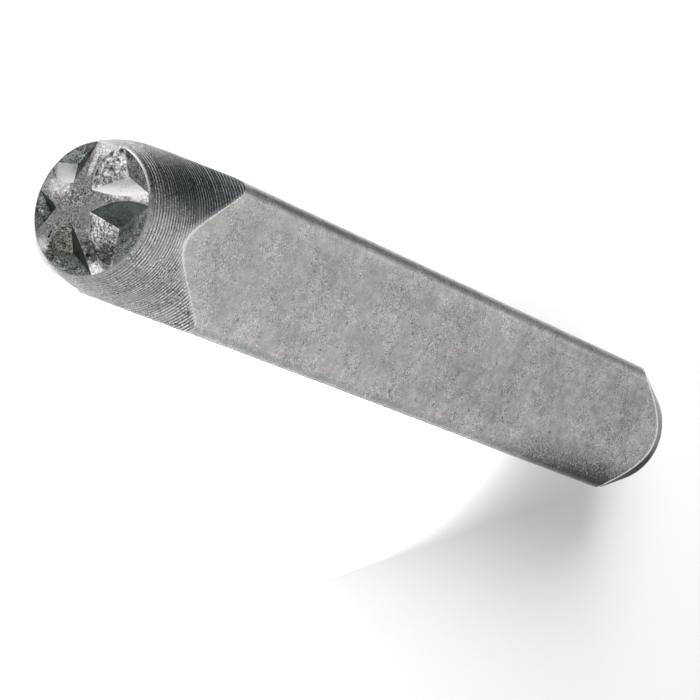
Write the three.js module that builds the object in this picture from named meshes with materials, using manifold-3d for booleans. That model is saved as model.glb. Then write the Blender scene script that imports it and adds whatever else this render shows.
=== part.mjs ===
// A steel stamping punch, machined from one length of square bar and lying on one of its flats.
// +X runs from the struck end to the star on the working face, +Z is up, and the origin is
// under the middle of the bar, where it rests.
import * as THREE from 'three';
import { mergeVertices } from 'three/addons/utils/BufferGeometryUtils.js';
import Module from 'manifold-3d';

const wasm = await Module();
wasm.setup();

// Driving dimensions, in millimetres, with angles in degrees.

// The square bar.
const barWidth = 9.5; // across two opposite flats
const barLength = 70;
const edgeRadius = 0.9; // on the four long edges

// The turned nose, from the working face back. It swells away from the face, runs nearly
// straight at the waist and flares until it runs out into the flats. Angles are to the axis.
const faceRadius = 4;
const rimRound = 0.06; // where the face meets the nose
const crownAngle = 23.5; // just behind the rim
const crownRadius = 9; // from there to the waist
const waistAngle = 7;
const flareRadius = 11; // from the waist to the corners of the bar

// The struck end.
const struckRadius = 4.2;
const struckRound = 0.35;
const struckAngle = 17.5;

// The star stands at the level of the face, between five scoops. It is cut off centre: seen from
// in front, its middle lies below the bar's axis and a little to the side.
const starDrop = 1.08;
const starAside = 0.04;

// The scoops between the star's arms are cut one at a time, so each has its own sizes.
// Bearings turn from straight up towards -Y. bearing runs from the star's middle to the scoop's
// inner corner, corner is that distance, reach is how far beyond the corner the floor lies
// deepest, and depth is measured there. The scoop meets the rim between rimFrom and rimTo, and
// bowFrom and bowTo are how far its two sides bow into the arms beside it.
const scoops = [
  {
    bearing: 55, corner: 1.3, reach: 1.7, depth: 1.4,
    rimFrom: 29, rimTo: 79, bowFrom: 0.22, bowTo: 0.75,
  },
  {
    bearing: 127, corner: 1.32, reach: 1.35, depth: 0.85,
    rimFrom: 109, rimTo: 151, bowFrom: 0.05, bowTo: 0.58,
  },
  {
    bearing: 207, corner: 1.45, reach: 0.8, depth: 0.6,
    rimFrom: 180, rimTo: 216, bowFrom: 0.04, bowTo: 0.04,
  },
  {
    bearing: 275, corner: 1.26, reach: 1.5, depth: 0.95,
    rimFrom: 244, rimTo: 295, bowFrom: 0.42, bowTo: 0.05,
  },
  {
    bearing: 348, corner: 1.27, reach: 1.45, depth: 1.1,
    rimFrom: 317, rimTo: 377, bowFrom: 0.7, bowTo: 0.42,
  },
];

// A scoop's walls run straight down to the floor, which dishes from there to the deepest point.
const floorShare = 0.2; // of the scoop's outline, left at the foot of the walls
const floorSink = 0.86; // of its depth, reached at the foot of the walls

// How finely the round forms are cut up, in flats.
const turnedSteps = 128; // once round the axis
const edgeSteps = 8; // on each long edge
const crownSteps = 6; // along the nose, from the rim to the waist
const flareSteps = 12; // and from the waist outwards
const roundSteps = 4; // on the small rounds at both ends
const sideSteps = 8; // along each side of a scoop
const rimSteps = 14; // along a scoop's stretch of rim

// How far a cutting solid stands clear of what it cuts.
const overrun = 1;

// Points of a surface that lie closer than this are one point.
const mergeDistance = 1e-5;

const radians = THREE.MathUtils.degToRad;

function onCircle(radius, bearing) {
  return new THREE.Vector2(radius * Math.cos(radians(bearing)), radius * Math.sin(radians(bearing)));
}

// Turns a closed geometry into a solid that can be cut and joined.
function solidOf(geometry) {
  geometry.deleteAttribute('normal');
  geometry.deleteAttribute('uv');
  const closed = mergeVertices(geometry, mergeDistance);
  const triVerts = new Uint32Array(closed.index.array);
  const vertProperties = new Float32Array(closed.attributes.position.array);
  return new wasm.Manifold(new wasm.Mesh({ numProp: 3, vertProperties, triVerts }));
}

function geometryOf(solid) {
  const mesh = solid.getMesh();
  const geometry = new THREE.BufferGeometry();
  geometry.setAttribute('position', new THREE.BufferAttribute(mesh.vertProperties, 3));
  geometry.setIndex(new THREE.BufferAttribute(mesh.triVerts, 1));
  return geometry;
}

// The square bar with its rounded edges, along local Z and longer than the punch at both ends.
function squareBar() {
  const half = barWidth / 2;
  const inset = half - edgeRadius;
  const outline = new THREE.Shape();
  outline.absarc(inset, inset, edgeRadius, 0, Math.PI / 2, false);
  outline.absarc(-inset, inset, edgeRadius, Math.PI / 2, Math.PI, false);
  outline.absarc(-inset, -inset, edgeRadius, Math.PI, 1.5 * Math.PI, false);
  outline.absarc(inset, -inset, edgeRadius, 1.5 * Math.PI, 2 * Math.PI, false);
  const depth = barLength + 2 * overrun;
  const bar = new THREE.ExtrudeGeometry(outline, { depth, bevelEnabled: false, curveSegments: edgeSteps });
  bar.translate(0, 0, -depth / 2);
  return solidOf(bar);
}

// The points of a small round between an end face at height and a side that tapers by angle.
// end is +1 on the working face and -1 on the struck end.
function endRound(radius, height, round, angle, end) {
  const points = [];
  const sweep = Math.PI / 2 - radians(angle);
  for (let step = 0; step <= roundSteps; step += 1) {
    const turn = (sweep * step) / roundSteps;
    points.push(new THREE.Vector2(
      radius - round + round * Math.sin(turn),
      height - end * (round - round * Math.cos(turn)),
    ));
  }
  return points;
}

// The nose's side behind the rim: an arc that closes to the waist and one that opens out to the
// radius that clears the bar's corners.
function noseSide(rim, clear) {
  const points = [];
  const start = radians(crownAngle);
  const waist = radians(waistAngle);
  for (let step = 1; step <= crownSteps; step += 1) {
    const slope = start + ((waist - start) * step) / crownSteps;
    points.push(new THREE.Vector2(
      rim.x + crownRadius * (Math.cos(slope) - Math.cos(start)),
      rim.y - crownRadius * (Math.sin(start) - Math.sin(slope)),
    ));
  }
  const foot = points[crownSteps - 1];
  const end = Math.acos(Math.cos(waist) - (clear - foot.x) / flareRadius);
  for (let step = 1; step <= flareSteps; step += 1) {
    const slope = waist + ((end - waist) * step) / flareSteps;
    points.push(new THREE.Vector2(
      foot.x + flareRadius * (Math.cos(waist) - Math.cos(slope)),
      foot.y - flareRadius * (Math.sin(slope) - Math.sin(waist)),
    ));
  }
  return points;
}

// What the lathe leaves: the nose, the struck end's taper, and between them a radius that clears
// the bar's corners, so that the flats stay whole.
function turnedBlank() {
  const clear = barWidth / Math.SQRT2 + overrun;
  const nose = endRound(faceRadius, barLength / 2, rimRound, crownAngle, 1);
  const struck = endRound(struckRadius, -barLength / 2, struckRound, struckAngle, -1);
  const struckEdge = struck[roundSteps];
  const struckLength = (clear - struckEdge.x) / Math.tan(radians(struckAngle));
  const profile = [
    new THREE.Vector2(0, -barLength / 2),
    ...struck,
    new THREE.Vector2(clear, struckEdge.y + struckLength),
    ...noseSide(nose[roundSteps], clear).reverse(),
    ...nose.reverse(),
    new THREE.Vector2(0, barLength / 2),
  ];
  const blank = new THREE.LatheGeometry(profile, turnedSteps);
  blank.rotateX(Math.PI / 2);
  return solidOf(blank);
}

// A line from one point to another that bows to the right of its way.
function bowTo(path, from, to, bow) {
  const along = to.clone().sub(from).normalize();
  const control = from.clone().lerp(to, 0.5);
  control.x += 2 * bow * along.y;
  control.y -= 2 * bow * along.x;
  path.quadraticCurveTo(control.x, control.y, to.x, to.y);
}

// A scoop's outline on the working face, anticlockwise, and the point above its deepest place.
function scoopPlan(scoop) {
  const middle = new THREE.Vector2(-starDrop, starAside);
  const corner = onCircle(scoop.corner, scoop.bearing).add(middle);
  const deepest = onCircle(scoop.corner + scoop.reach, scoop.bearing).add(middle);
  const rim = faceRadius - rimRound;
  const first = onCircle(rim, scoop.rimFrom);
  const last = onCircle(rim, scoop.rimTo);

  const nearSide = new THREE.Path();
  nearSide.moveTo(corner.x, corner.y);
  bowTo(nearSide, corner, first, scoop.bowFrom);
  const outer = new THREE.Path();
  outer.absarc(0, 0, rim, radians(scoop.rimFrom), radians(scoop.rimTo), false);
  const farSide = new THREE.Path();
  farSide.moveTo(last.x, last.y);
  bowTo(farSide, last, corner, scoop.bowTo);

  const outline = [
    ...nearSide.getPoints(sideSteps).slice(0, -1),
    ...outer.getPoints(rimSteps).slice(0, -1),
    ...farSide.getPoints(sideSteps).slice(0, -1),
  ];
  return { outline, deepest };
}

// The solid that cuts a scoop: rings of its outline that shrink towards the deepest point as they
// go down, from a lid above the face.
function scoopCutter(scoop) {
  const { outline, deepest } = scoopPlan(scoop);
  const wallFall = (floorSink * scoop.depth) / (1 - floorShare);
  const rings = [
    { share: 1 + overrun / wallFall, sink: -overrun },
    { share: floorShare, sink: floorSink * scoop.depth },
  ];
  const face = barLength / 2;
  const positions = [deepest.x, deepest.y, face + overrun];
  for (const { share, sink } of rings) {
    for (const point of outline) {
      const place = deepest.clone().lerp(point, share);
      positions.push(place.x, place.y, face - sink);
    }
  }
  positions.push(deepest.x, deepest.y, face - scoop.depth);

  const around = outline.length;
  const bottom = 1 + 2 * around;
  const index = [];
  for (let step = 0; step < around; step += 1) {
    const next = (step + 1) % around;
    const upper = 1 + step;
    const upperNext = 1 + next;
    const lower = 1 + around + step;
    const lowerNext = 1 + around + next;
    index.push(0, upper, upperNext);
    index.push(upper, lower, lowerNext);
    index.push(upper, lowerNext, upperNext);
    index.push(bottom, lowerNext, lower);
  }
  const cutter = new THREE.BufferGeometry();
  cutter.setAttribute('position', new THREE.Float32BufferAttribute(positions, 3));
  cutter.setIndex(index);
  return solidOf(cutter);
}

// Builds the punch along local Z, with local X up, and lays it on its flat.
function starPunch() {
  let body = squareBar().intersect(turnedBlank());
  for (const scoop of scoops) {
    body = body.subtract(scoopCutter(scoop));
  }
  const steel = new THREE.MeshStandardMaterial({ color: 0x8f8f8c, roughness: 0.55, metalness: 0.9 });
  const punch = new THREE.Mesh(geometryOf(body), steel);
  punch.name = 'star_punch';
  const lie = new THREE.Matrix4().makeBasis(
    new THREE.Vector3(0, 0, 1),
    new THREE.Vector3(0, -1, 0),
    new THREE.Vector3(1, 0, 0),
  );
  punch.quaternion.setFromRotationMatrix(lie);
  punch.position.z = barWidth / 2;
  return punch;
}

const model = new THREE.Group();
model.add(starPunch());

export default model;
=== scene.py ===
import math
import random

import bpy
from mathutils import Euler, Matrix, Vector


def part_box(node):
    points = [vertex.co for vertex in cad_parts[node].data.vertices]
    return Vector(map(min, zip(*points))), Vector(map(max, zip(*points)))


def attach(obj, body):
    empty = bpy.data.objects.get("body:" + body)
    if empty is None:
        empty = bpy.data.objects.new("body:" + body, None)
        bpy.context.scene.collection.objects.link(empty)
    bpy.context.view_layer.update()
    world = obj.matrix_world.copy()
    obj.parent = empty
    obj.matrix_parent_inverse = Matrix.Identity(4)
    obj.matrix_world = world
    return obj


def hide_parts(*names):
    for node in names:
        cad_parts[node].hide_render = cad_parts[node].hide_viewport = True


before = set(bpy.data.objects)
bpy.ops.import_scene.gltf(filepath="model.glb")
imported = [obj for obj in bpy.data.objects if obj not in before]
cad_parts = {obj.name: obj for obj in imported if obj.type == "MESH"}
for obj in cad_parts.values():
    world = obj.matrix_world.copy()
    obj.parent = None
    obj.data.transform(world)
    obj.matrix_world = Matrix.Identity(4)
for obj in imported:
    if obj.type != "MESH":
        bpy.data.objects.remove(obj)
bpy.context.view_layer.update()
print("frame loaded")

# The punch is modelled in millimetres and shrunk to metres at the end.
mm = 0.001

lowCorner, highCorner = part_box("star_punch")
barLength = (highCorner.x - lowCorner.x) / mm
barWidth = (highCorner.y - lowCorner.y) / mm
faceX = highCorner.x / mm
axisZ = barWidth / 2

# The bar and what the lathe leaves of it. The materials need these sizes too.
bar = {
    "edgeRadius": 0.9,
    "edgeSegments": 12,
}

turning = {
    "steps": 160,
    "faceRadius": 4.0,
    "faceRings": 34,
    "tipWear": 0.05,  # how far the face drops towards its rim
    "tipWearFrom": 3.1,
    "rimRound": 0.09,
    "roundSteps": 5,
    "crownAngle": 23.5,  # behind the rim, and to the axis like the other angles
    "crownRadius": 9.0,
    "waistAngle": 7.0,
    "flareRadius": 11.0,
    "plainBand": 0.3,  # behind the rim, before the first groove
    "plainSteps": 3,
    "groovePitch": 0.2,
    "grooveDepth": (0.016, 0.021),  # behind the rim, and at the corners of the bar
    "grooveForm": (0, 0.75, 1, 0.75),
    "grooveUneven": (0.7, 0.9, 1.0, 1.1, 1.4),
    "grooveJitter": 0.1,
    "struckRadius": 4.2,
    "struckRound": 0.35,
    "struckAngle": 17.5,
    "struckPitch": 0.28,
    "struckDepth": 0.007,
    "struckUneven": (0.4, 1.6),
    "overrun": 1.0,
    "weldDistance": 0.0005,
}


def endRound(radius, height, roundness, angle, end):
    # The small round between an end face and a tapering side, as (radius, x)
    points = []
    sweep = math.pi / 2 - math.radians(angle)
    for step in range(turning["roundSteps"] + 1):
        turn = sweep * step / turning["roundSteps"]
        points.append((radius - roundness + roundness * math.sin(turn),
                       height - end * (roundness - roundness * math.cos(turn))))
    return points


def noseRim():
    return endRound(turning["faceRadius"], faceX, turning["rimRound"], turning["crownAngle"], 1)


def struckRim():
    return endRound(turning["struckRadius"], -faceX, turning["struckRound"], turning["struckAngle"], -1)


def noseWaist():
    # Radius, x and slope where the nose's side is narrowest in slope
    rim = noseRim()[-1]
    start, waist = math.radians(turning["crownAngle"]), math.radians(turning["waistAngle"])
    radius = rim[0] + turning["crownRadius"] * (math.cos(waist) - math.cos(start))
    x = rim[1] - turning["crownRadius"] * (math.sin(start) - math.sin(waist))
    return radius, x, waist


def flareEnd(waistRadius):
    # The slope of the flare where it reaches the corners of the bar
    waist = math.cos(math.radians(turning["waistAngle"]))
    rise = barWidth / math.sqrt(2) - waistRadius
    return math.degrees(math.acos(waist - rise / turning["flareRadius"]))


def grooveCount(length, plain):
    return max(1, round((length - plain) / turning["groovePitch"]))


def setMode(mode):
    bpy.ops.object.mode_set(mode=mode)


def selectAll():
    bpy.ops.mesh.select_all(action="SELECT")


def deselectAll():
    if bpy.context.mode != "OBJECT":
        setMode("OBJECT")
    bpy.ops.object.select_all(action="DESELECT")


def takeUp(thing):
    deselectAll()
    thing.select_set(True)
    bpy.context.view_layer.objects.active = thing


def choose(thing, kind, test):
    # Opens a thing for editing with only the parts that pass the test selected
    takeUp(thing)
    setMode("EDIT")
    bpy.ops.mesh.select_mode(type=kind)
    bpy.ops.mesh.select_all(action="DESELECT")
    setMode("OBJECT")
    for part in thing.data.vertices if kind == "VERT" else thing.data.edges:
        part.select = test(part)
    setMode("EDIT")


def applyPlace():
    bpy.ops.object.transform_apply(location=True, rotation=True, scale=True)


def startAt(name, place):
    # A thing of one vertex, open for editing
    deselectAll()
    bpy.ops.mesh.primitive_plane_add(size=1, location=place)
    thing = bpy.context.object
    thing.name = name
    applyPlace()
    choose(thing, "VERT", lambda part: True)
    bpy.ops.mesh.merge(type="CENTER")
    return thing


def drawOn(points):
    for here, there in zip(points, points[1:]):
        bpy.ops.mesh.extrude_region_move(TRANSFORM_OT_translate={"value": there - here})


def applyModifier(thing, kind, **settings):
    takeUp(thing)
    modifier = thing.modifiers.new(kind.lower(), kind)
    for key, value in settings.items():
        setattr(modifier, key, value)
    bpy.ops.object.modifier_apply(modifier=modifier.name)


def cutWith(thing, tool, operation="DIFFERENCE"):
    applyModifier(thing, "BOOLEAN", object=tool, operation=operation, solver="MANIFOLD",
                  material_mode="TRANSFER")
    bpy.data.objects.remove(tool)


def onFace(radius, bearing):
    turn = math.radians(bearing)
    return Vector((0, -radius * math.sin(turn), radius * math.cos(turn)))


# Node helpers. A value is a number or a socket.

def addNode(tree, kind, inputs=None, **settings):
    node = tree.nodes.new("ShaderNode" + kind)
    for key, value in settings.items():
        setattr(node, key, value)
    for key, value in (inputs or {}).items():
        if isinstance(value, bpy.types.NodeSocket):
            tree.links.new(value, node.inputs[key])
        else:
            node.inputs[key].default_value = value
    return node


def calculate(tree, operation, first, second=0.0, third=0.0, clamp=False):
    inputs = {0: first, 1: second, 2: third}
    return addNode(tree, "Math", inputs, operation=operation, use_clamp=clamp).outputs[0]


def times(tree, value, *others):
    for other in others:
        value = calculate(tree, "MULTIPLY", value, other)
    return value


def plus(tree, first, second):
    return calculate(tree, "ADD", first, second)


def minus(tree, first, second):
    return calculate(tree, "SUBTRACT", first, second)


def vectorMath(tree, operation, first, second=(0, 0, 0)):
    node = addNode(tree, "VectorMath", {0: first, 1: second}, operation=operation)
    return node.outputs["Value" if operation in ("LENGTH", "DOT_PRODUCT") else "Vector"]


def spread(tree, value, fromMin, fromMax, toMin=0.0, toMax=1.0, smooth=True):
    kind = "SMOOTHSTEP" if smooth else "LINEAR"
    inputs = {"Value": value, "From Min": fromMin, "From Max": fromMax, "To Min": toMin, "To Max": toMax}
    return addNode(tree, "MapRange", inputs, interpolation_type=kind).outputs["Result"]


def ramp(tree, distance, start, end, *values, smooth=True):
    # The same for a distance in metres, with its start and end in millimetres
    return spread(tree, distance, start * mm, end * mm, *values, smooth=smooth)


def diagonal(tree, side, rise):
    # How far a point is from the axis
    return calculate(tree, "SQRT", plus(tree, times(tree, side, side), times(tree, rise, rise)))


def mixValues(tree, factor, first, second):
    return addNode(tree, "Mix", {0: factor, 2: first, 3: second}).outputs[0]


def mixColours(tree, factor, first, second):
    inputs = {0: factor, 6: first, 7: second}
    return addNode(tree, "Mix", inputs, data_type="RGBA").outputs[2]


def layOver(tree, colour, mask, strength, tone):
    return mixColours(tree, times(tree, mask, strength), colour, grey(tone))


def grey(value, tint=(1, 1, 1)):
    return (value * tint[0], value * tint[1], value * tint[2], 1)


def scaleColour(tree, colour, factor):
    inputs = {0: colour, "Scale": factor}
    return addNode(tree, "VectorMath", inputs, operation="SCALE").outputs["Vector"]


def place(tree):
    return addNode(tree, "TexCoord").outputs["Object"]


def axes(tree):
    return addNode(tree, "SeparateXYZ", {"Vector": place(tree)}).outputs


def stretched(tree, vector, alongX):
    return addNode(tree, "Mapping", {"Vector": vector, "Scale": (alongX, 1, 1)}).outputs["Vector"]


def noise(tree, vector, size, detail=2.0, rough=0.5):
    # size is in millimetres
    scale = calculate(tree, "DIVIDE", 1 / mm, size)
    inputs = {"Vector": vector, "Scale": scale, "Detail": detail, "Roughness": rough}
    return addNode(tree, "TexNoise", inputs).outputs["Fac"]


def unevenness(tree, vector, size, detail=2.0, rough=0.5):
    # The same as a value round 0
    return minus(tree, noise(tree, vector, size, detail, rough), 0.5)


def bump(tree, height, depth, normal=None):
    # depth is in millimetres
    inputs = {"Height": height, "Strength": 1.0, "Distance": depth * mm}
    if normal is not None:
        inputs["Normal"] = normal
    return addNode(tree, "Bump", inputs).outputs["Normal"]


# Node groups, one for each effect that several materials share

def newGroup(name, inputs, outputs):
    tree = bpy.data.node_groups.new(name, "ShaderNodeTree")
    for label, value in inputs.items():
        socket = tree.interface.new_socket(label, in_out="INPUT", socket_type="NodeSocketFloat")
        socket.default_value = value
    for label in outputs:
        tree.interface.new_socket(label, in_out="OUTPUT", socket_type="NodeSocketFloat")
    return tree, tree.nodes.new("NodeGroupInput").outputs, tree.nodes.new("NodeGroupOutput").inputs


def grainGroup():
    # Fine blasted or tumbled grain, as a value round 0.5
    tree, given, result = newGroup("steelGrain", {"Size": 0.1, "Contrast": 1.0}, ["Grain"])
    grain = unevenness(tree, place(tree), given["Size"], detail=4, rough=0.7)
    grain = times(tree, grain, given["Contrast"])
    tree.links.new(calculate(tree, "ADD", grain, 0.5, clamp=True), result["Grain"])
    return tree


mottling = {
    # Millimetres, and how much each size counts
    "fine": [(0.07, 1.5), (0.13, 1.0), (0.26, 0.6)],
    "broad": [(0.6, 0.35), (1.2, 0.45), (3.5, 0.5)],
    "patchSize": 1.7,
    "patchLevels": (0.38, 0.62),
    "patchStrength": (0.45, 1.4),  # of the fine specks, between the patches and in them
    "streakWidth": 0.5,
    "streakStretch": 0.06,
    "streakStrength": 0.35,
}


def mottleGroup():
    # Specks gathered in patches, clouds of a few millimetres and faint streaks along the bar, as a
    # value round 1 to multiply a colour by
    looks = mottling
    tree, given, result = newGroup("steelMottle", {"Size": 1.0, "Contrast": 1.0, "Broad": 1.0}, ["Tone"])
    where = place(tree)

    def layers(sizes):
        total = 0.0
        for size, amount in sizes:
            layer = unevenness(tree, where, times(tree, given["Size"], size), detail=1)
            total = plus(tree, times(tree, layer, amount), total)
        return total

    patches = noise(tree, where, times(tree, given["Size"], looks["patchSize"]), detail=3, rough=0.6)
    gathered = spread(tree, patches, *looks["patchLevels"], *looks["patchStrength"])
    fine = times(tree, layers(looks["fine"]), gathered)
    drawn = stretched(tree, where, looks["streakStretch"])
    streaks = unevenness(tree, drawn, looks["streakWidth"], detail=3, rough=0.65)
    streaks = times(tree, streaks, looks["streakStrength"])
    broad = times(tree, plus(tree, layers(looks["broad"]), streaks), given["Broad"])
    total = times(tree, plus(tree, fine, broad), given["Contrast"])
    tree.links.new(plus(tree, total, 1.0), result["Tone"])
    return tree


raggedPits = {
    "perMillimetre": 6,
    "push": 0.06,  # how far the noise moves a pit's edge
}


def pitGroup():
    # Scattered small pits or specks, 1 in a speck and 0 elsewhere. Share is how many cells have one.
    tree, given, result = newGroup("steelPits", {"Spacing": 3.0, "Width": 0.12, "Share": 0.5}, ["Pit"])
    inputs = {"Vector": place(tree), "Scale": raggedPits["perMillimetre"] / mm}
    ragged = addNode(tree, "TexNoise", inputs).outputs["Color"]
    pushed = vectorMath(tree, "MULTIPLY", ragged, (raggedPits["push"] * mm,) * 3)
    where = vectorMath(tree, "ADD", place(tree), pushed)
    scale = calculate(tree, "DIVIDE", 1 / mm, given["Spacing"])
    cells = addNode(tree, "TexVoronoi", {"Vector": where, "Scale": scale}).outputs
    width = calculate(tree, "DIVIDE", given["Width"], given["Spacing"])
    pit = spread(tree, cells["Distance"], width, 0.0)
    chance = addNode(tree, "SeparateColor", {"Color": cells["Color"]}).outputs[0]
    chosen = calculate(tree, "LESS_THAN", chance, given["Share"])
    tree.links.new(times(tree, pit, chosen), result["Pit"])
    return tree


scratching = {
    "stretch": 0.07,
    "patchSize": 1.6,
    "patchStrength": 0.25,
    "levels": (0.96, 0.98),  # of the noise, where a scratch starts and where it is whole
    "perAmount": 0.1,  # how much one more Amount lowers the first of them
}


def scratchGroup():
    # Short fine scratches that run one way, 1 in a scratch and 0 elsewhere
    looks = scratching
    tree, given, result = newGroup("steelScratches", {"Turn": 0.5, "Width": 0.05, "Amount": 0.5},
                                   ["Scratch"])
    inputs = {"Vector": place(tree), "Angle": given["Turn"]}
    turned = addNode(tree, "VectorRotate", inputs, rotation_type="Z_AXIS").outputs["Vector"]
    fibres = noise(tree, stretched(tree, turned, looks["stretch"]), given["Width"], detail=1)
    patches = noise(tree, place(tree), looks["patchSize"])
    level = plus(tree, fibres, times(tree, patches, looks["patchStrength"]))
    start, whole = looks["levels"]
    start = minus(tree, start, times(tree, given["Amount"], looks["perAmount"]))
    tree.links.new(spread(tree, level, start, whole), result["Scratch"])
    return tree


def ringGroup():
    # Turning marks: bands square to the axis, as a value round 0.5
    tree, given, result = newGroup("turningRings", {"Pitch": 0.2, "Wander": 0.3}, ["Ring"])
    along, side, rise = axes(tree)
    radius = diagonal(tree, side, minus(tree, rise, axisZ * mm))
    drift = times(tree, noise(tree, place(tree), 3.0), given["Wander"], mm)
    line = addNode(tree, "CombineXYZ", {"X": plus(tree, along, drift), "Y": radius})
    bands = noise(tree, line.outputs["Vector"], given["Pitch"], detail=3, rough=0.6)
    tree.links.new(bands, result["Ring"])
    return tree


def keepSine(tree, value):
    # Keeps a sine between 0 and just under 1
    return calculate(tree, "MINIMUM", calculate(tree, "MAXIMUM", value, 0.0), 0.99)


def marginGroup():
    # How far a point lies, in millimetres, inside the surface that the lathe turned and inside the
    # flats. On a flat the first is small beside the turned ends, and on the nose the second is.
    # Edges is how far it lies from the nearer of the two middle planes of the bar.
    tree, given, result = newGroup("edgeMargins", {"Wander": 0.03}, ["Turned", "Flats", "Edges"])
    along, side, rise = (calculate(tree, "DIVIDE", value, mm) for value in axes(tree))
    rise = minus(tree, rise, axisZ)
    radius = diagonal(tree, side, rise)
    waistRadius, waistX, waist = noseWaist()
    bend = turning["flareRadius"]
    sine = calculate(tree, "MULTIPLY_ADD", along, -1 / bend, waistX / bend + math.sin(waist))
    sine = keepSine(tree, sine)
    cosine = calculate(tree, "SQRT", minus(tree, 1.0, times(tree, sine, sine)))
    nose = calculate(tree, "MULTIPLY_ADD", cosine, -bend, waistRadius + bend * math.cos(waist))
    slope = math.tan(math.radians(turning["struckAngle"]))
    struckRadius, struckX = struckRim()[-1]
    struck = calculate(tree, "MULTIPLY_ADD", along, slope, struckRadius - struckX * slope)
    turned = minus(tree, calculate(tree, "MINIMUM", nose, struck), radius)
    side, rise = calculate(tree, "ABSOLUTE", side), calculate(tree, "ABSOLUTE", rise)
    flats = minus(tree, barWidth / 2, calculate(tree, "MAXIMUM", side, rise))
    ragged = times(tree, unevenness(tree, place(tree), 0.25, detail=3), given["Wander"])
    tree.links.new(plus(tree, turned, ragged), result["Turned"])
    tree.links.new(plus(tree, flats, ragged), result["Flats"])
    tree.links.new(calculate(tree, "MINIMUM", side, rise), result["Edges"])
    return tree


def grooveGroup():
    # The grooves that the lathe cut into the nose, 1 on a crest and -1 in a hollow
    tree, given, result = newGroup("latheGrooves", {}, ["Ridge"])
    along = calculate(tree, "DIVIDE", axes(tree)["X"], mm)
    waistRadius, waistX, waist = noseWaist()
    start, widest = math.radians(turning["crownAngle"]), math.radians(flareEnd(waistRadius))
    crown, flare = turning["crownRadius"], turning["flareRadius"]
    # Radius of the arc, slope and x at its start, which way it turns, its length and its plain part
    arcs = ((crown, start, noseRim()[-1][1], -1, (start - waist) * crown, turning["plainBand"]),
            (flare, waist, waistX, 1, (widest - waist) * flare, 0))
    fade = 0.01
    ridges = []
    for bend, slope, fromX, turn, length, plain in arcs:
        sine = calculate(tree, "MULTIPLY_ADD", along, -turn / bend, math.sin(slope) + turn * fromX / bend)
        here = calculate(tree, "ARCSINE", keepSine(tree, sine))
        behind = times(tree, minus(tree, here, slope), turn * bend)
        width = (length - plain) / grooveCount(length, plain)
        phase = times(tree, minus(tree, behind, plain), 2 * math.pi / width)
        begun = spread(tree, behind, plain, plain + fade)
        ended = spread(tree, behind, length + fade, length)
        ridges.append(times(tree, calculate(tree, "COSINE", phase), begun, ended))
    atCrown = calculate(tree, "GREATER_THAN", along, waistX)
    tree.links.new(mixValues(tree, atCrown, ridges[1], ridges[0]), result["Ridge"])
    return tree


groups = {
    "grain": grainGroup(),
    "mottle": mottleGroup(),
    "pits": pitGroup(),
    "scratches": scratchGroup(),
    "rings": ringGroup(),
    "margins": marginGroup(),
    "grooves": grooveGroup(),
}


def useGroup(tree, key, **inputs):
    return addNode(tree, "Group", inputs, node_tree=groups[key]).outputs


# Materials

def startMaterial(name, metallic=1.0):
    material = bpy.data.materials.new(name)
    material.use_nodes = True
    tree = material.node_tree
    shader = tree.nodes["Principled BSDF"]
    shader.inputs["Metallic"].default_value = metallic
    return material, tree, shader


def finishMaterial(tree, shader, colour, roughness, normal):
    tree.links.new(colour, shader.inputs["Base Color"])
    tree.links.new(roughness, shader.inputs["Roughness"])
    tree.links.new(normal, shader.inputs["Normal"])


def awayFrom(tree, centre, reach):
    # How far a point lies from a centre, 1 where the reach ends. Nothing counts along an axis
    # without a reach.
    offset = vectorMath(tree, "SUBTRACT", place(tree), [value * mm for value in centre])
    scale = [1 / value / mm if value else 0 for value in reach]
    return vectorMath(tree, "LENGTH", vectorMath(tree, "MULTIPLY", offset, scale))


def sideways(tree, bearing):
    # How far a point lies from the axis towards a bearing
    offset = vectorMath(tree, "SUBTRACT", place(tree), (0, 0, axisZ * mm))
    return vectorMath(tree, "DOT_PRODUCT", offset, onFace(1, bearing))


def alongBar(tree, values):
    # From the first value near the struck end to the second near the nose
    return ramp(tree, axes(tree)["X"], -30, 25, *values, smooth=False)


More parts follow.
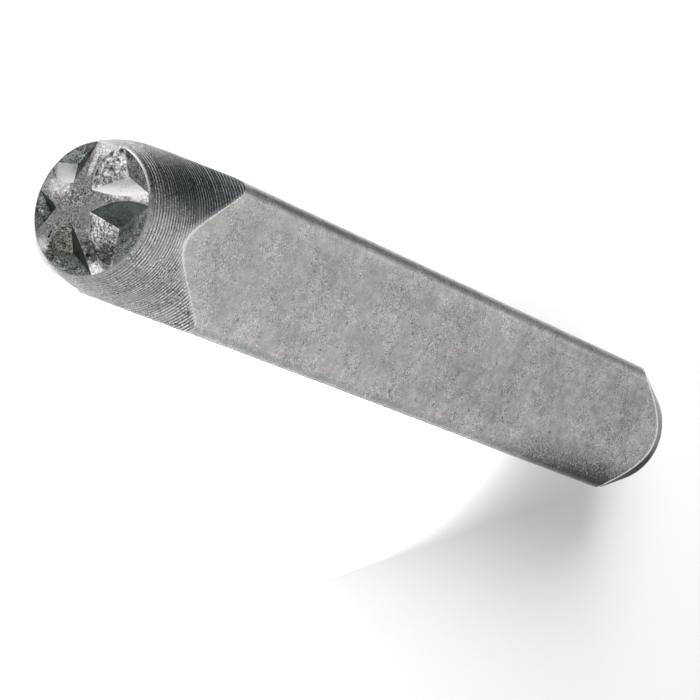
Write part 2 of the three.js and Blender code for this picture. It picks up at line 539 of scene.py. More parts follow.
flatLooks = {
    "tone": 0.42,
    "tint": (1.0, 1.0, 0.972),
    # Soft green and pink clouds. shift keeps the two apart.
    "clouds": [
        {"tint": (0.96, 1.0, 0.96), "size": 1.9, "levels": (0.52, 0.68), "shift": (0, 0, 0)},
        {"tint": (1.02, 0.975, 0.965), "size": 1.7, "levels": (0.54, 0.7), "shift": (0.02, 0.01, 0.03)},
    ],
    "grain": {"Size": 0.15, "Contrast": 1.9},
    "contrast": (1.15, 0.75),  # of the mottle, at the struck end and at the nose
    "pits": {"Spacing": 1.5, "Width": 0.18, "Share": 0.7},
    "specks": {"Spacing": 0.6, "Width": 0.12, "Share": 0.7},
    "scratches": [{"Turn": 0.5, "Width": 0.1, "Amount": 1.9}, {"Turn": 2.2, "Width": 0.1, "Amount": 1.7}],
    "roughness": (0.42, 0.54),
    # How much shows of what lies over the mottled grey, and its tone
    "over": {"pit": (0.85, 0.06), "speck": (0.5, 0.85), "scratch": (0.5, 0.85), "edge": (0.9, 0.95)},
    # Bump, in millimetres
    "depths": {"grain": 0.007, "tone": 0.006, "pit": -0.04, "scratch": -0.008},
    # The line beside the turned ends is partly wear and partly a painted highlight on the edge.
    "edgeWidth": 0.1,  # of the worn line beside the turned ends
    "edgeWander": 0.11,
    "nearTurned": 1.1,  # how much brighter the flats are next to the turned ends
    # Painted shade along the bar: the flats are painted darker towards the struck end.
    "shadeAlongBar": (0.88, 1.2),  # how bright they are at the struck end and at the nose
    # Brighter next to the long edges, partly wear and partly a painted sheen.
    "longEdge": 1.12,  # how much brighter they are next to the long edges
    "longEdgeFrom": (2.4, 3.6),
    # The rounded long edge towards -Y: its roughness, and how much brighter it is painted as a painted
    # highlight.
    "shinyEdge": 0.38,
    "edgeHighlightTone": 1.05,
    # Painted shade over the long edge towards +Y on the half by the struck end: where it lies, how far it
    # reaches and its colour.
    "farShadeAt": (-28.0, 4.9, 8.6),
    "farShadeSize": (19.0, 2.6, 3.0),
    "farShade": grey(0.025, (0.95, 1, 0.98)),
}


def flatMaterial():
    looks = flatLooks
    material, tree, shader = startMaterial("tumbledFlats")
    grain = useGroup(tree, "grain", **looks["grain"])["Grain"]
    mottle = useGroup(tree, "mottle", Contrast=alongBar(tree, looks["contrast"]))["Tone"]
    pit = useGroup(tree, "pits", **looks["pits"])["Pit"]
    speck = useGroup(tree, "pits", **looks["specks"])["Pit"]
    scratches = [useGroup(tree, "scratches", **inputs)["Scratch"] for inputs in looks["scratches"]]
    scratch = calculate(tree, "MAXIMUM", *scratches)

    margins = useGroup(tree, "margins", Wander=looks["edgeWander"])
    # A bright line beside the turned ends, partly wear and partly a painted highlight
    edge = spread(tree, margins["Turned"], looks["edgeWidth"], 0.02)
    nearTurned = spread(tree, margins["Turned"], 1.6, 0.0, 1.0, looks["nearTurned"])
    roundFrom = barWidth / 2 - bar["edgeRadius"]
    rounded = spread(tree, margins["Edges"], roundFrom - 0.1, roundFrom + 0.15)
    # Partly wear, partly painted sheen beside the long edges
    wornEdgeAndSheen = spread(tree, margins["Edges"], *looks["longEdgeFrom"], 1.0, looks["longEdge"])
    # A painted highlight and lower roughness on the rounded edge towards -Y only
    shinyLitEdge = times(tree, rounded, ramp(tree, axes(tree)["Y"], -2, -4))
    edgeHighlight = spread(tree, shinyLitEdge, 0.0, 1.0, 1.0, looks["edgeHighlightTone"])
    # The tone carries painted light: painted shade along the bar, a painted sheen beside the long edges
    # and a painted highlight on one rounded edge.
    tone = times(tree, mottle, wornEdgeAndSheen, nearTurned, alongBar(tree, looks["shadeAlongBar"]), edgeHighlight)

    colour = grey(looks["tone"], looks["tint"])
    for cloud in looks["clouds"]:
        inputs = {"Vector": place(tree), "Location": cloud["shift"]}
        shifted = addNode(tree, "Mapping", inputs).outputs["Vector"]
        cover = spread(tree, noise(tree, shifted, cloud["size"]), *cloud["levels"])
        colour = mixColours(tree, cover, colour, grey(looks["tone"], cloud["tint"]))
    colour = scaleColour(tree, colour, tone)
    # Painted shade on the flats near the struck end
    away = awayFrom(tree, looks["farShadeAt"], looks["farShadeSize"])
    away = plus(tree, away, minus(tree, grain, 0.5))
    colour = mixColours(tree, spread(tree, away, 1.2, 0.3), colour, looks["farShade"])
    for key, mask in (("pit", pit), ("speck", speck), ("scratch", scratch), ("edge", edge)):
        colour = layOver(tree, colour, mask, *looks["over"][key])

    roughness = spread(tree, grain, 0.35, 0.65, *looks["roughness"])
    roughness = mixValues(tree, shinyLitEdge, roughness, looks["shinyEdge"])
    normal = None
    for key, height in (("grain", grain), ("tone", tone), ("pit", pit), ("scratch", scratch)):
        normal = bump(tree, height, looks["depths"][key], normal)
    finishMaterial(tree, shader, colour, roughness, normal)
    return material


# Distances are in millimetres, and those after a bearing run from the axis towards it.
turnedLooks = {
    "tone": 0.44,
    "grain": {"Size": 0.09, "Contrast": 2.4},
    "mottle": {"Size": 0.8, "Contrast": 1.4, "Broad": 0.6},
    "rings": {"Pitch": 0.075, "Wander": 0.2},
    "ringTone": (0.75, 1.25),
    "ringDepth": 0.02,
    "grainDepth": 0.01,
    "roughness": (0.31, 0.45),
    "lineBearing": 20,  # where the lines of the turning stand out most
    "lineFrom": (0.0, 3.0),
    "lineStrength": (0.2, 0.58),  # away from there and there
    "lineUneven": (0.35, 1.5),
    # A painted dark reflection on one side of the nose: its bearing, where it starts and is whole, how
    # much of it shows just behind the rim, and its tint.
    "darkReflectionBearing": 66,  # where the nose is darkest
    "darkReflectionFrom": (1.5, 4.2),
    "darkReflectionBehindRim": 0.35,
    "darkReflectionTint": (0.54, 0.59, 0.6),
    "struckEnd": 0.36,
    # Tone of the painted shade in the lower corner of the struck end
    "struckShade": 0.05,
    # The line beside the flats is partly wear and partly a painted highlight on the edge.
    "edgeWander": 0.1,
    "edgeWidth": 0.16,
    "edgeOver": (0.5, 0.8),
    # A painted highlight along one side of the rim, and a darker tone on the rest of it
    "rimBearing": 55,
    "rimFrom": (3.5, 3.75),
    "rimRagged": 0.3,
    "rimWidth": (0.17, 0.1),  # how far behind the face it starts to show and shows fully
    "rimLine": 0.9,
    "rimElsewhere": 0.3,
}


def turnedMaterial():
    looks = turnedLooks
    material, tree, shader = startMaterial("turnedNose")
    rings = useGroup(tree, "rings", **looks["rings"])["Ring"]
    grain = useGroup(tree, "grain", **looks["grain"])["Grain"]
    mottle = useGroup(tree, "mottle", **looks["mottle"])["Tone"]
    toFlats = useGroup(tree, "margins", Wander=looks["edgeWander"])["Flats"]
    edge = spread(tree, toFlats, looks["edgeWidth"], 0.0)
    along, side, rise = axes(tree)

    # The crests of the grooves are painted brighter and their hollows darker, a painted highlight and
    # painted shade that are strongest towards one side of the nose.
    towardLines = sideways(tree, looks["lineBearing"])
    strength = ramp(tree, towardLines, *looks["lineFrom"], *looks["lineStrength"])
    uneven = noise(tree, place(tree), 0.8, detail=3, rough=0.6)
    uneven = spread(tree, uneven, 0.35, 0.65, *looks["lineUneven"], smooth=False)
    ridge = times(tree, useGroup(tree, "grooves")["Ridge"], times(tree, strength, uneven))
    ringTone = spread(tree, rings, 0.32, 0.68, *looks["ringTone"], smooth=False)
    lines = times(tree, plus(tree, ridge, 1.0), ringTone)

    # Painted dark reflection on one side of the nose, fainter just behind the rim
    paintedDarkReflection = ramp(tree, sideways(tree, looks["darkReflectionBearing"]), *looks["darkReflectionFrom"])
    behindRim = ramp(tree, along, faceX - 0.6, faceX - 3, looks["darkReflectionBehindRim"], 1.0)
    paintedDarkReflection = times(tree, paintedDarkReflection, behindRim)
    colour = mixColours(tree, paintedDarkReflection, grey(looks["tone"]), grey(looks["tone"], looks["darkReflectionTint"]))
    struck = ramp(tree, along, -faceX * 0.7, -faceX * 0.8)
    colour = mixColours(tree, struck, colour, grey(looks["struckEnd"]))
    # Painted shade in the lower corner of the struck end
    struckCornerShade = times(tree, ramp(tree, side, -0.5, 1.6), ramp(tree, rise, axisZ, axisZ + 2), struck)
    colour = mixColours(tree, struckCornerShade, colour, grey(looks["struckShade"]))
    colour = scaleColour(tree, colour, times(tree, mottle, lines))
    # A bright line beside the flats, partly wear and partly a painted highlight
    colour = layOver(tree, colour, edge, *looks["edgeOver"])

    # A painted highlight along one side of the rim, which is painted darker elsewhere.
    ragged = times(tree, minus(tree, grain, 0.5), looks["rimRagged"] * mm)
    outwards = plus(tree, sideways(tree, looks["rimBearing"]), ragged)
    sector = ramp(tree, outwards, *looks["rimFrom"])
    rimHighlight = mixColours(tree, sector, grey(looks["rimElsewhere"]), grey(looks["rimLine"]))
    band = ramp(tree, along, *(faceX - distance for distance in looks["rimWidth"]))
    colour = mixColours(tree, band, colour, rimHighlight)

    roughness = spread(tree, grain, 0.3, 0.7, *looks["roughness"])
    normal = bump(tree, grain, looks["grainDepth"], bump(tree, rings, looks["ringDepth"]))
    finishMaterial(tree, shader, colour, roughness, normal)
    return material


starLooks = {
    "tone": 0.2,
    "tint": (1, 1, 0.985),
    "polish": 0.85,
    "polishTint": (1, 0.965, 1),
    "polishRagged": 1.6,
    "polishUneven": (0.55, 1.45),
    "darkest": 0.25,  # the least that the mottle leaves of the tone, and of the polish
    "darkestPolish": 0.6,
    "roughness": (0.42, 0.54),
    "grain": {"Size": 0.12, "Contrast": 2.2},
    "grainDepth": 0.016,
    "mottle": {"Size": 0.8, "Contrast": 2.4, "Broad": 0.3},
}

# Spots on the working face: y and z from the bar's axis, their reach both ways, and how strong
# they are
polished = [
    ((-3.6, -0.45), (0.7, 0.9), 0.72),
    ((-2.6, -0.95), (1.0, 0.2), 0.6),
    ((-3.7, 0.5), (0.4, 0.5), 0.6),
    ((-1.62, 2.7), (0.42, 1.15), 0.85),
    ((-1.2, 1.5), (0.22, 0.6), 0.45),
    ((3.3, 1.9), (0.5, 0.6), 0.78),
    ((-0.6, -2.7), (0.6, 0.9), 0.55),
    ((2.9, -2.4), (0.5, 0.5), 0.4),
]

# Painted shade in the corners of the rough scoops
scoopCornerShade = [
    ((-3.6, 1.05), (0.26, 0.36), 0.95),
    ((2.2, 2.0), (0.85, 1.1), 0.8),
]


def spotMask(tree, spots, ragged):
    # Ragged-edged spots on the working face, as strong in each as its strength
    uneven = times(tree, unevenness(tree, place(tree), 0.28, detail=4, rough=0.7), ragged)
    outside, inside = 1.25, 0.45  # where a spot starts and where it is whole, as shares of its reach
    mask = 0.0
    for (side, rise), reach, strength in spots:
        away = awayFrom(tree, (0, side, axisZ + rise), (0, *reach))
        cover = spread(tree, plus(tree, away, uneven), outside, inside, 0.0, strength)
        mask = calculate(tree, "MAXIMUM", cover, mask)
    return mask


def starMaterial():
    looks = starLooks
    material, tree, shader = startMaterial("blastedStar")
    grain = useGroup(tree, "grain", **looks["grain"])["Grain"]
    mottle = useGroup(tree, "mottle", **looks["mottle"])["Tone"]
    shine = spotMask(tree, polished, looks["polishRagged"])
    darker = calculate(tree, "MAXIMUM", mottle, looks["darkest"])
    colour = scaleColour(tree, grey(looks["tone"], looks["tint"])[:3], darker)
    softer = spread(tree, mottle, 0.0, 2.0, *looks["polishUneven"], smooth=False)
    softer = calculate(tree, "MAXIMUM", softer, looks["darkestPolish"])
    bright = scaleColour(tree, grey(looks["polish"], looks["polishTint"])[:3], softer)
    colour = mixColours(tree, shine, colour, bright)
    roughness = spread(tree, grain, 0.3, 0.7, *looks["roughness"])
    height = times(tree, grain, spread(tree, shine, 0.0, 1.0, 1.0, 0.3))
    finishMaterial(tree, shader, colour, roughness, bump(tree, height, looks["grainDepth"]))
    return material


# The walls of the scoops, as materials. Their tones carry painted light: the dark walls and slopes
# are painted shade, and the facets and the bright lip a painted highlight. grain is its size and
# depth, and relief the sizes and heights of what roughens the wall itself, in millimetres. ridges is
# how much painted highlight the crests of the relief get and how much painted shade its hollows, and
# ragged the tone of patches over a wall.
wallFinishesAndShade = {
    "smoothFacet": {"tone": 0.68, "contrast": 0.4, "roughness": 0.65, "grain": (0.12, 0.001),
                    "relief": [(0.9, 0.02)]},
    "brightFacet": {"tone": 0.98, "contrast": 0.4, "roughness": 0.6, "grain": (0.2, 0.002),
                    "tint": (1, 0.97, 0.985), "relief": [(0.9, 0.03)]},
    "darkWall": {"tone": 0.065, "contrast": 1.3, "roughness": 0.36, "grain": (0.1, 0.003),
                 "tint": (0.85, 1, 0.99), "relief": [(0.7, 0.03)]},
    "darkSlope": {"tone": 0.15, "contrast": 2.8, "roughness": 0.5, "grain": (0.12, 0.02),
                  "tint": (0.9, 1, 0.98), "ridges": 0.6, "relief": [(0.15, 0.035)]},
    "paleSlope": {"tone": 0.18, "contrast": 2.8, "roughness": 0.5, "grain": (0.12, 0.02),
                  "ridges": 0.6, "cornerShade": scoopCornerShade, "relief": [(0.15, 0.03)]},
    "chiselledWall": {"tone": 0.47, "contrast": 0.9, "roughness": 0.38, "grain": (0.1, 0.01),
                      "ridges": 0.75, "cornerShade": scoopCornerShade, "relief": [(0.52, -0.32), (0.22, -0.15)],
                      "hard": True},
    "hatchedWall": {"tone": 0.13, "contrast": 2.2, "roughness": 0.42, "grain": (0.1, 0.01),
                    "tint": (1, 0.98, 0.88), "ridges": 0.5, "relief": [(0.3, 0.03)]},
    "brightLip": {"tone": 1.0, "contrast": 0.4, "roughness": 0.4, "grain": (0.1, 0.002),
                  "ragged": 0.4, "cornerShade": scoopCornerShade},
}

# The chips are coloured darker than the face around them, painted shade in their hollows.
chipToneAndShade = {"tone": 0.12, "contrast": 0.9, "roughness": 0.4, "grain": (0.1, 0.01),
              "tint": (0.95, 0.97, 1), "ridges": 0.9}

wallLooks = {
    "grainContrast": 1.9,
    "mottleSize": 0.8,
    "darkest": 0.12,  # the least that the mottle leaves of the tone
    "crest": (0.42, 0.58),  # the pointiness of hollows and of crests
    "crestLight": 1.6,
    "patchSize": 0.22,
    "patchLevels": (0.54, 0.68),
    # The painted shade of the scoop corners, its ragged edge, and how bright a speck must be to keep
    # clear of it
    "cornerShade": grey(0.03, (0.95, 1, 1)),
    "cornerShadeRagged": 1.2,
    "unshaded": (2.4, 1.9),  # specks this bright stay clean
    "roughSpread": 0.06,
}


def scoopMaterial(name, finishAndShade):
    looks = wallLooks
    material, tree, shader = startMaterial(name)
    grainSize, grainDepth = finishAndShade["grain"]
    grain = useGroup(tree, "grain", Size=grainSize, Contrast=looks["grainContrast"])["Grain"]
    mottle = useGroup(tree, "mottle", Size=looks["mottleSize"], Contrast=finishAndShade["contrast"])["Tone"]
    # Pointiness paints a highlight on the crests of the relief and shade in its hollows.
    if "ridges" in finishAndShade:
        crest = addNode(tree, "NewGeometry").outputs["Pointiness"]
        tones = (1 - finishAndShade["ridges"], 1 + looks["crestLight"] * finishAndShade["ridges"])
        mottle = times(tree, mottle, spread(tree, crest, *looks["crest"], *tones, smooth=False))
    tone = grey(finishAndShade["tone"], finishAndShade.get("tint", (1, 1, 1)))[:3]
    colour = scaleColour(tree, tone, calculate(tree, "MAXIMUM", mottle, looks["darkest"]))
    if "ragged" in finishAndShade:
        patches = noise(tree, place(tree), looks["patchSize"], detail=4, rough=0.7)
        patches = spread(tree, patches, *looks["patchLevels"])
        colour = mixColours(tree, patches, colour, grey(finishAndShade["ragged"]))
    # Painted shade in the corners of the rough scoops, clear of the brightest specks
    if "cornerShade" in finishAndShade:
        cornerShaded = spotMask(tree, finishAndShade["cornerShade"], looks["cornerShadeRagged"])
        cornerShaded = times(tree, cornerShaded, spread(tree, mottle, *looks["unshaded"]))
        colour = mixColours(tree, cornerShaded, colour, looks["cornerShade"])
    between = [finishAndShade["roughness"] + way * looks["roughSpread"] for way in (-1, 1)]
    roughness = spread(tree, grain, 0.3, 0.7, *between)
    finishMaterial(tree, shader, colour, roughness, bump(tree, grain, grainDepth))
    return material


flatSteel = flatMaterial()
turnedSteel = turnedMaterial()
starSteel = starMaterial()
scoopSteel = {name: scoopMaterial(name, finishAndShade) for name, finishAndShade in wallFinishesAndShade.items()}
chipSteel = scoopMaterial("chippedPlace", chipToneAndShade)
print("materials made")


# The square bar and the turned blank that it is cut back to

def squareBar():
    deselectAll()
    size = (barLength + 2 * turning["overrun"], barWidth, barWidth)
    bpy.ops.mesh.primitive_cube_add(size=1, location=(0, 0, axisZ), scale=size)
    thing = bpy.context.object
    thing.name = "star_punch_steel"
    applyPlace()

    def runsAlong(edge):
        ends = [thing.data.vertices[number].co.x for number in edge.vertices]
        return min(ends) < 0 < max(ends)

    choose(thing, "EDGE", runsAlong)
    bpy.ops.mesh.bevel(offset=bar["edgeRadius"], segments=bar["edgeSegments"], affect="EDGES")
    setMode("OBJECT")
    thing.data.materials.append(flatSteel)
    return thing


def grooved(start, slopes, bend, depths, plain, seed):
    # Follows an arc of radius bend from the slope slopes[0] to slopes[1], cutting dished
    # grooves from depths[0] to depths[1] deep. Points are (radius, x).
    chance = random.Random(seed)
    first, last = (math.radians(slope) for slope in slopes)
    length = abs(last - first) * bend
    grooves = grooveCount(length, plain)
    width = (length - plain) / grooves
    form, wander = turning["grooveForm"], turning["grooveJitter"]
    places = [(plain * step / turning["plainSteps"], 0.0) for step in range(turning["plainSteps"])]
    for groove in range(grooves):
        depth = depths[0] + (depths[1] - depths[0]) * (groove / grooves) ** 2
        cut = depth * chance.choice(turning["grooveUneven"])
        for step, share in enumerate(form):
            jitter = 0
            if step == 0 and groove:
                jitter = chance.uniform(-wander, wander) * width / len(form)
            places.append((plain + (groove + step / len(form)) * width + jitter, -cut * share))
    places.append((length, 0.0))
    turn = 1 if last > first else -1
    points = []
    for along, cut in places:
        slope = first + (last - first) * along / length
        radius = start[0] + turn * bend * (math.cos(first) - math.cos(slope)) + cut * math.cos(slope)
        x = start[1] - turn * bend * (math.sin(slope) - math.sin(first)) + cut * math.sin(slope)
        points.append((radius, x))
    return points


def struckTaper(start, clear):
    # From the end's round to the radius that clears the bar's corners
    slope = math.tan(math.radians(turning["struckAngle"]))
    chance = random.Random(8)
    reach = (clear - start[0]) / slope
    points = []
    for groove in range(1, round(reach / turning["struckPitch"])):
        cut = turning["struckDepth"] * chance.uniform(*turning["struckUneven"])
        for share, sink in ((0.5, 1), (1, 0)):
            along = (groove - 1 + share) * turning["struckPitch"]
            points.append((start[0] + along * slope - sink * cut, start[1] + along))
    points.append((clear, start[1] + reach))
    return points


def faceDrop(radius):
    share = (radius - turning["tipWearFrom"]) / (turning["faceRadius"] - turning["tipWearFrom"])
    share = min(1, max(0, share))
    return turning["tipWear"] * share * share


def turnedProfile():
    # From the middle of the working face round to the middle of the struck end
    size = turning
    clear = barWidth / math.sqrt(2) + size["overrun"]
    nose, struck = noseRim(), struckRim()
    depths = size["grooveDepth"]
    crown = grooved(nose[-1], (size["crownAngle"], size["waistAngle"]), size["crownRadius"],
                    (depths[0], depths[0]), size["plainBand"], 3)
    widest = flareEnd(crown[-1][0])
    flare = grooved(crown[-1], (size["waistAngle"], widest), size["flareRadius"], depths, 0, 5)
    beyond = (clear, flare[-1][1] - (clear - flare[-1][0]) / math.tan(math.radians(widest)))
    face = []
    for ring in range(1, size["faceRings"]):
        radius = (size["faceRadius"] - size["rimRound"]) * ring / size["faceRings"]
        face.append((radius, faceX - faceDrop(radius)))
    nose = [(radius, x - faceDrop(radius)) for radius, x in nose]
    profile = [(0, faceX)] + face + nose + crown[1:] + flare[1:] + [beyond]
    profile += struckTaper(struck[-1], clear)[::-1] + struck[::-1] + [(0, -faceX)]
    return [Vector((x, 0, axisZ + radius)) for radius, x in profile]


def turnedBlank():
    points = turnedProfile()
    thing = startAt("turnedBlank", points[0])
    drawOn(points)
    selectAll()
    bpy.ops.mesh.spin(steps=turning["steps"], angle=2 * math.pi, center=(0, 0, axisZ), axis=(1, 0, 0))
    selectAll()
    bpy.ops.mesh.remove_doubles(threshold=turning["weldDistance"])
    bpy.ops.mesh.normals_make_consistent(inside=False)
    setMode("OBJECT")
    thing.data.materials.append(turnedSteel)
    thing.data.materials.append(starSteel)
    for face in thing.data.polygons:
        face.material_index = 1 if face.center.x > faceX - 1 and face.normal.x > 0.9 else 0
    return thing


# The scoops between the arms of the star
star = {
    "drop": 1.08,
    "aside": 0.04,
    "outlineStep": 0.055,
    "rings": 40,
    "floorRings": 5,
    "floorShare": 0.2,  # of the outline, left at the foot of the walls
    "floorSink": 0.86,  # of the depth, reached there
    "lid": 0.5,  # how far a cutter stands clear of the face
    "lipDepth": 0.09,
    "lipWidth": 0.05,
    "lipLength": 2.0,
    "plainCorner": 9,  # degrees from the ends of a wall over which its relief fades in
    "plainTop": 0.02,  # how far below the face the relief starts, and over which depth
    "plainFade": 0.12,
    "weldDistance": 0.001,
}

# Bearings turn from straight up towards -Y. near, outer and far are the finishes, with their painted
# light, of the wall from the inner corner to rimFrom, the slope under the rim, and the wall back from
# rimTo.
scoops = [
    {"bearing": 55, "corner": 1.3, "reach": 1.7, "depth": 1.4, "rimFrom": 29, "rimTo": 79,
     "bowFrom": 0.22, "bowTo": 0.75, "near": "brightFacet", "outer": "paleSlope", "far": "chiselledWall"},
    {"bearing": 127, "corner": 1.32, "reach": 1.35, "depth": 0.85, "rimFrom": 109, "rimTo": 151,
     "bowFrom": 0.05, "bowTo": 0.58, "near": "darkWall", "outer": "darkSlope", "far": "smoothFacet"},
    {"bearing": 207, "corner": 1.45, "reach": 0.8, "depth": 0.6, "rimFrom": 180, "rimTo": 216,
     "bowFrom": 0.04, "bowTo": 0.04, "near": "darkWall", "outer": "darkSlope", "far": "darkWall"},
    {"bearing": 275, "corner": 1.26, "reach": 1.5, "depth": 0.95, "rimFrom": 244, "rimTo": 295,
     "bowFrom": 0.42, "bowTo": 0.05, "near": "hatchedWall", "outer": "darkSlope", "far": "darkWall"},
    {"bearing": 348, "corner": 1.27, "reach": 1.45, "depth": 1.1, "rimFrom": 317, "rimTo": 377,
     "bowFrom": 0.7, "bowTo": 0.42, "near": "chiselledWall", "outer": "darkSlope", "far": "darkWall"},
]


def bowed(start, end, bow, steps):
    # From start to end, bowing to the right of the way as seen from in front of the face
    along = (end - start).normalized()
    aside = Vector((0, along.z, -along.y))
    control = (start + end) / 2 + aside * 2 * bow
    points = []
    for step in range(steps):
        t = step / steps
        points.append(start * (1 - t) ** 2 + control * 2 * t * (1 - t) + end * t * t)
    return points


def scoopPlan(scoop):
    axis = Vector((faceX, 0, axisZ))
    middle = axis + Vector((0, -star["aside"], -star["drop"]))
    corner = middle + onFace(scoop["corner"], scoop["bearing"])
    deepest = middle + onFace(scoop["corner"] + scoop["reach"], scoop["bearing"])
    rim = turning["faceRadius"] - turning["rimRound"]
    first = axis + onFace(rim, scoop["rimFrom"])
    last = axis + onFace(rim, scoop["rimTo"])
    nearSteps = round((first - corner).length / star["outlineStep"])
    farSteps = round((last - corner).length / star["outlineStep"])
    sweep = scoop["rimTo"] - scoop["rimFrom"]
    outerSteps = round(math.radians(sweep) * rim / star["outlineStep"])
    outline = bowed(corner, first, scoop["bowFrom"], nearSteps)
    bearings = [scoop["rimFrom"] + sweep * step / outerSteps for step in range(outerSteps)]
    outline += [axis + onFace(rim, bearing) for bearing in bearings]
    outline += bowed(last, corner, scoop["bowTo"], farSteps)
    return outline, deepest, (corner, first, last)


def scoopRings(depth):
    # How much of its outline is left of a scoop, and how deep that is, from the lip down
    share, sink, lipDepth = star["floorShare"], star["floorSink"], star["lipDepth"]
    rings = [(1 + star["lipWidth"], 0.0), (1.0, lipDepth)]
    for ring in range(1, star["rings"] + 1):
        t = ring / star["rings"]
        rings.append((1 + (share - 1) * t, lipDepth + (sink * depth - lipDepth) * t))
    for ring in range(1, star["floorRings"]):
        t = ring / star["floorRings"]
        rings.append((share * (1 - t), depth * (sink + (1 - sink) * (1 - (1 - t) ** 2))))
    return rings


def scoopCutter(index, scoop):
    outline, deepest, marks = scoopPlan(scoop)
    share, sink = 1 + star["lipWidth"], -star["lid"]
    raised = [deepest + (point - deepest) * share + Vector((star["lid"], 0, 0)) for point in outline]
    thing = startAt("scoop%d" % index, raised[0])
    drawOn(raised + [raised[0]])
    selectAll()
    bpy.ops.mesh.remove_doubles(threshold=star["weldDistance"])
    selectAll()
    bpy.ops.mesh.edge_face_add()
    for nextShare, nextSink in scoopRings(scoop["depth"]):
        bpy.ops.mesh.extrude_region_move(TRANSFORM_OT_translate={"value": (sink - nextSink, 0, 0)})
        ratio = nextShare / share
        bpy.ops.transform.resize(value=(1, ratio, ratio), center_override=deepest)
        share, sink = nextShare, nextSink
    bpy.ops.mesh.extrude_region_move(TRANSFORM_OT_translate={"value": (sink - scoop["depth"], 0, 0)})
    bpy.ops.mesh.merge(type="CENTER")
    selectAll()
    bpy.ops.mesh.normals_make_consistent(inside=False)
    setMode("OBJECT")
    return thing, deepest, marks


def bearingFrom(centre, point):
    return math.degrees(math.atan2(-(point.y - centre.y), point.z - centre.z)) % 360


def wallAt(point, deepest, marks, scoop):
    # Which finish and painted light a point has, and how far it is from the ends of its wall, in degrees
    corner, first, last = (bearingFrom(deepest, mark) for mark in marks)
    here = bearingFrom(deepest, point)
    for key, start, end in (("near", corner, first), ("outer", first, last), ("far", last, corner)):
        sweep = (end - start) % 360
        turn = (here - start) % 360
        if turn <= sweep:
            return scoop[key], min(turn, sweep - turn)
    return scoop["outer"], 0


def roughen(thing, deepest, marks, scoop):
    # Gives each wall its relief, which fades in from its ends and from the face, and its finish with
    # painted light
    names = list(wallFinishesAndShade)
    for name in names:
        thing.vertex_groups.new(name=name)
    for vertex in thing.data.vertices:
        name, fromEnd = wallAt(vertex.co, deepest, marks, scoop)
        sunk = faceX - vertex.co.x
        weight = min(1, fromEnd / star["plainCorner"])
        weight *= min(1, max(0, sunk - star["plainTop"]) / star["plainFade"])
        if weight > 0:
            thing.vertex_groups[name].add([vertex.index], weight, "REPLACE")
    for name in sorted({scoop[key] for key in ("near", "outer", "far")}):
        for number, (size, height) in enumerate(wallFinishesAndShade[name]["relief"]):
            texture = bpy.data.textures.new("%s%d" % (name, number), "CLOUDS")
            texture.noise_scale = size
            texture.noise_type = "HARD_NOISE" if wallFinishesAndShade[name].get("hard") else "SOFT_NOISE"
            applyModifier(thing, "DISPLACE", texture=texture, texture_coords="LOCAL", direction="NORMAL",
                          vertex_group=name, strength=height, mid_level=0.5)
    for name in names:
        thing.data.materials.append(scoopSteel[name])
    for face in thing.data.polygons:
        name = wallAt(face.center, deepest, marks, scoop)[0]
        nearCorner = (face.center - marks[0]).length < star["lipLength"]
        # The top of the chiselled wall near the inner corner gets the bright lip, a painted highlight.
        if name == "chiselledWall" and nearCorner and faceX - face.center.x < star["lipDepth"]:
            name = "brightLip"
        face.material_index = names.index(name)


# Chips in the rough scoops and at the ends of the arms: y and z from the axis, size and depth
chips = [
    ((2.42, 1.3), (0.42, 0.42), 0.13),
    ((1.95, 0.62), (0.2, 0.5), 0.11),
    ((2.8, 1.05), (0.34, 0.14), 0.09),
    ((2.16, -2.1), (0.26, 0.09), 0.16),
    ((-3.62, 0.95), (0.12, 0.1), 0.08),
]

# Sizes in millimetres, and heights as shares of a chip's depth
chipRelief = [(0.3, 2.4), (0.11, 1.3)]


def chipCutter(index, chip):
    deselectAll()
    (side, rise), reach, depth = chip
    bpy.ops.mesh.primitive_ico_sphere_add(subdivisions=3, radius=1, location=(faceX, side, axisZ + rise),
                                          scale=(depth, *reach))
    thing = bpy.context.object
    applyPlace()
    for size, share in chipRelief:
        texture = bpy.data.textures.new("chip%d" % index, "CLOUDS")
        texture.noise_scale = size
        applyModifier(thing, "DISPLACE", texture=texture, texture_coords="LOCAL", strength=share * depth)
    thing.data.materials.append(chipSteel)
    return thing


punch = squareBar()
cutWith(punch, turnedBlank(), "INTERSECT")
print("blank turned:", len(punch.data.polygons), "faces")
for index, scoop in enumerate(scoops):
    cutter, deepest, marks = scoopCutter(index, scoop)
    roughen(cutter, deepest, marks, scoop)
    cutWith(punch, cutter)
for index, chip in enumerate(chips):
    cutWith(punch, chipCutter(index, chip))
print("star cut:", len(punch.data.polygons), "faces")

takeUp(punch)
bpy.ops.transform.resize(value=(mm, mm, mm), center_override=(0, 0, 0))
applyPlace()
bpy.ops.object.shade_smooth_by_angle(angle=math.radians(24))
applyModifier(punch, "WEIGHTED_NORMAL", mode="FACE_AREA", keep_sharp=True)

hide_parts("star_punch")
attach(punch, "root")
print("punch finished")

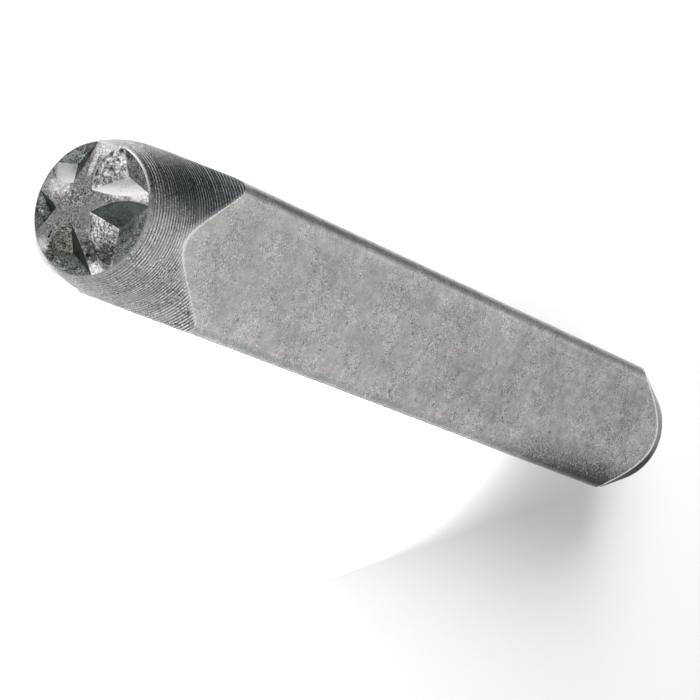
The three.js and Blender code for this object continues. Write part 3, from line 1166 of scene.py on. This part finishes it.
# Floor, light and camera
studio = {
    "floorSize": 3.0,
    "floorTone": 0.665,
    # Lamps that light only the floor: name, place and size in metres, and power. The small ones
    # keep the shadow off it beside the nose.
    "lamps": [
        ("keyLight", (0.372, -0.231, 0.156), 0.28, 7.2),
        ("fillLight", (0.0501, -0.0057, 0.0384), 0.02, 0.0146),
        ("lowFill", (-0.004, 0.0105, 0.0102), 0.01, 0.12),
        ("noseFill", (0.044, 0.001, 0.014), 0.01, 0.02),
    ],
    "roomLight": 0.79,
    # Soft cards round the punch, which the steel reflects: the way to each, how far it reaches and
    # fades, in degrees, how bright it is, and its tint
    "cards": [
        ((-0.97, 0.04, -0.24), 29, 12, 1.8, (1, 0.99, 1)),
        ((-0.46, -0.86, 0.22), 33, 14, 0.01, (0.7, 1, 1)),
        ((-0.99, 0.07, -0.09), 12, 12, 0.1, (0.8, 1, 1)),
        ((0.26, -0.88, -0.4), 27, 12, 1.6, (1, 0.99, 1)),
        ((-0.1, -0.62, -0.78), 29, 12, 1.85, (1, 0.99, 1)),
        ((-0.72, 0.66, 0.2), 14, 14, 0.5, (0.9, 1, 0.95)),
        ((0.69, 0.48, -0.53), 42, 22, 1.5, (1, 0.99, 1)),
        ((0.84, -0.01, -0.58), 10, 20, 0.8, (1, 0.99, 1)),
    ],
}

camera = {
    "place": (175.456, 4.75, 114.092),  # millimetres
    "turn": (-28.4195, -52.3446, -144.7282),  # degrees
    "lens": 159.416,
    "sensor": 36,
    "clipStart": 0.01,
}


def makeFloor():
    deselectAll()
    bpy.ops.mesh.primitive_plane_add(size=studio["floorSize"], location=(0, 0, 0))
    floor = bpy.context.object
    floor.name = "floor"
    floor.visible_glossy = False
    material, tree, shader = startMaterial("paleFloor", metallic=0)
    shader.inputs["Base Color"].default_value = grey(studio["floorTone"])
    shader.inputs["Roughness"].default_value = 0.9
    shader.inputs["Specular IOR Level"].default_value = 0.1
    floor.data.materials.append(material)


def makeLamp(name, where, size, power):
    deselectAll()
    bpy.ops.object.light_add(type="AREA", location=where)
    lamp = bpy.context.object
    lamp.name = name
    lamp.data.size = size
    lamp.data.energy = power
    lamp.visible_glossy = False
    lamp.visible_camera = False
    lamp.rotation_euler = (-Vector(where)).to_track_quat("-Z", "Y").to_euler()


def makeWorld():
    world = bpy.data.worlds.new("studio")
    bpy.context.scene.world = world
    world.use_nodes = True
    tree = world.node_tree
    direction = addNode(tree, "TexCoord").outputs["Generated"]
    light = grey(studio["roomLight"])
    for toward, reach, fade, brightness, tint in studio["cards"]:
        facing = vectorMath(tree, "DOT_PRODUCT", direction, Vector(toward).normalized())
        angle = calculate(tree, "ARCCOSINE", facing)
        cover = spread(tree, angle, math.radians(reach + fade), math.radians(reach))
        light = mixColours(tree, cover, light, grey(brightness, tint))
    tree.links.new(light, tree.nodes["Background"].inputs["Color"])


def makeCamera():
    deselectAll()
    turn = Euler([math.radians(angle) for angle in camera["turn"]])
    bpy.ops.object.camera_add(location=Vector(camera["place"]) * mm, rotation=turn)
    thing = bpy.context.object
    thing.name = "camera"
    thing.data.sensor_width = camera["sensor"]
    thing.data.lens = camera["lens"]
    thing.data.clip_start = camera["clipStart"]
    bpy.context.scene.camera = thing


makeFloor()
for lamp in studio["lamps"]:
    makeLamp(*lamp)
makeWorld()
makeCamera()
bpy.context.scene.view_settings.view_transform = "Standard"
print("stage set")
